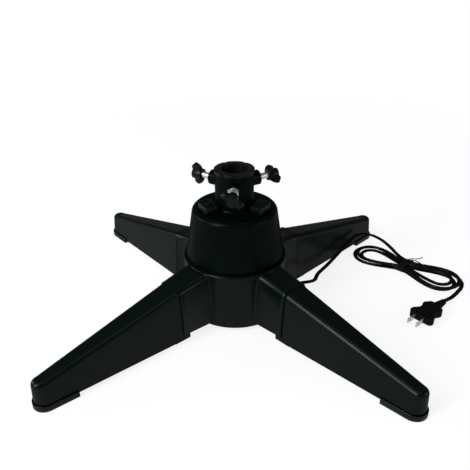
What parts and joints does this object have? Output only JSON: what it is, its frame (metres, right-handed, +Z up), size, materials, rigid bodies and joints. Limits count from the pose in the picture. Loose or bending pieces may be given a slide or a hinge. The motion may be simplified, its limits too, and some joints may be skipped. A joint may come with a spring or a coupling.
{
  "type": "rotating christmas tree stand",
  "caption": "Low stand with plug-in legs round a drum hub and a powered tapered bell that turns a clamped pole and carries outlets with it.",
  "frame": {"origin": "on the floor, under the centre of the pole socket", "axes": "+Z up along the pole; -Y is the side the picture shows, +X to its right, where the cord lies"},
  "size_m": [0.5468, 0.433, 0.2],
  "materials": {
    "housing": "satin, faintly green black",
    "black_plastic": "satin black",
    "rubber_pad": "matt black",
    "cord_vinyl": "satin black vinyl",
    "nylon": "natural nylon, low gloss",
    "steel": "zinc plated",
    "brass": "bare brass"
  },
  "bodies": {
    "base": {"hub_housing": "housing", "bottom_cover": "black_plastic", "cover_screws": "steel", "deck_bush": "nylon", "lower_race": "steel", "spindle_bush": "brass", "motor": "steel", "motor_screws": "steel", "brush_holder": "black_plastic", "holder_screws": "steel", "brushes": "brass", "cord_gland": "cord_vinyl", "supply_cord": "cord_vinyl", "cord_hank": "cord_vinyl", "plug_lead": "cord_vinyl", "hank_tie": "black_plastic", "plug_body": "cord_vinyl", "plug_blades": "steel"},
    "rotor": {"rotor_bell": "housing", "pole_tube": "black_plastic", "lock_ring": "black_plastic", "clamp_nuts": "steel", "upper_race": "steel", "drive_gear": "nylon", "gear_screws": "steel", "slip_ring_core": "black_plastic", "slip_rings": "brass", "outlet_1": "housing", "outlet_2": "housing", "outlet_3": "housing", "outlet_contacts": "brass"},
    "cage": {"ball_cage": "nylon", "bearing_balls": "steel"},
    "pinion_shaft": {"motor_shaft": "steel", "pinion": "brass"},
    "screw_1": {"clamp_stud_1": "steel"},
    "knob_1": {"wing_knob_1": "black_plastic"},
    "screw_2": {"clamp_stud_2": "steel"},
    "knob_2": {"wing_knob_2": "black_plastic"},
    "screw_3": {"clamp_stud_3": "steel"},
    "knob_3": {"wing_knob_3": "black_plastic"},
    "leg_fr": {"leg_fr": "housing", "foot_pad_fr": "rubber_pad", "leg_clip_fr": "housing"},
    "leg_fl": {"leg_fl": "housing", "foot_pad_fl": "rubber_pad", "leg_clip_fl": "housing"},
    "leg_br": {"leg_br": "housing", "foot_pad_br": "rubber_pad", "leg_clip_br": "housing"},
    "leg_bl": {"leg_bl": "housing", "foot_pad_bl": "rubber_pad", "leg_clip_bl": "housing"}
  },
  "joints": [
    {"name": "rotor_spin", "type": "hinge", "parent": "base", "child": "rotor", "pos_m": [0, 0, 0.08], "axis": [0, 0, 1], "continuous": true},
    {"name": "cage_spin", "type": "hinge", "parent": "base", "child": "cage", "pos_m": [0, 0, 0.0834], "axis": [0, 0, 1], "continuous": true},
    {"name": "pinion_spin", "type": "hinge", "parent": "base", "child": "pinion_shaft", "pos_m": [0, 0.0375, 0.066], "axis": [0, 0, 1], "continuous": true},
    {"name": "screw_1_travel", "type": "slide", "parent": "rotor", "child": "screw_1", "axis": [-0.866, -0.5, 0], "range_m": [0, 0.011]},
    {"name": "screw_1_turn", "type": "hinge", "parent": "screw_1", "child": "knob_1", "pos_m": [0.03897, 0.0225, 0.182], "axis": [-0.866, -0.5, 0], "range_deg": [0, 3170]},
    {"name": "screw_2_travel", "type": "slide", "parent": "rotor", "child": "screw_2", "axis": [0.866, -0.5, 0], "range_m": [0, 0.011]},
    {"name": "screw_2_turn", "type": "hinge", "parent": "screw_2", "child": "knob_2", "pos_m": [-0.03897, 0.0225, 0.182], "axis": [0.866, -0.5, 0], "range_deg": [0, 3170]},
    {"name": "screw_3_travel", "type": "slide", "parent": "rotor", "child": "screw_3", "axis": [0, 1, 0], "range_m": [0, 0.011]},
    {"name": "screw_3_turn", "type": "hinge", "parent": "screw_3", "child": "knob_3", "pos_m": [0, -0.045, 0.182], "axis": [0, 1, 0], "range_deg": [0, 3170]},
    {"name": "leg_fr_slide", "type": "slide", "parent": "base", "child": "leg_fr", "axis": [0.7071, -0.7071, 0], "range_m": [0, 0.045]},
    {"name": "leg_fl_slide", "type": "slide", "parent": "base", "child": "leg_fl", "axis": [-0.7071, -0.7071, 0], "range_m": [0, 0.045]},
    {"name": "leg_br_slide", "type": "slide", "parent": "base", "child": "leg_br", "axis": [0.7071, 0.7071, 0], "range_m": [0, 0.045]},
    {"name": "leg_bl_slide", "type": "slide", "parent": "base", "child": "leg_bl", "axis": [-0.7071, 0.7071, 0], "range_m": [0, 0.045]}
  ],
  "couplings": [
    {"joint": "cage_spin", "follows": "rotor_spin", "ratio": 0.5},
    {"joint": "pinion_spin", "follows": "rotor_spin", "ratio": -4},
    {"joint": "screw_1_turn", "follows": "screw_1_travel", "rad_per_m": 5026.5},
    {"joint": "screw_2_turn", "follows": "screw_2_travel", "rad_per_m": 5026.5},
    {"joint": "screw_3_turn", "follows": "screw_3_travel", "rad_per_m": 5026.5}
  ]
}
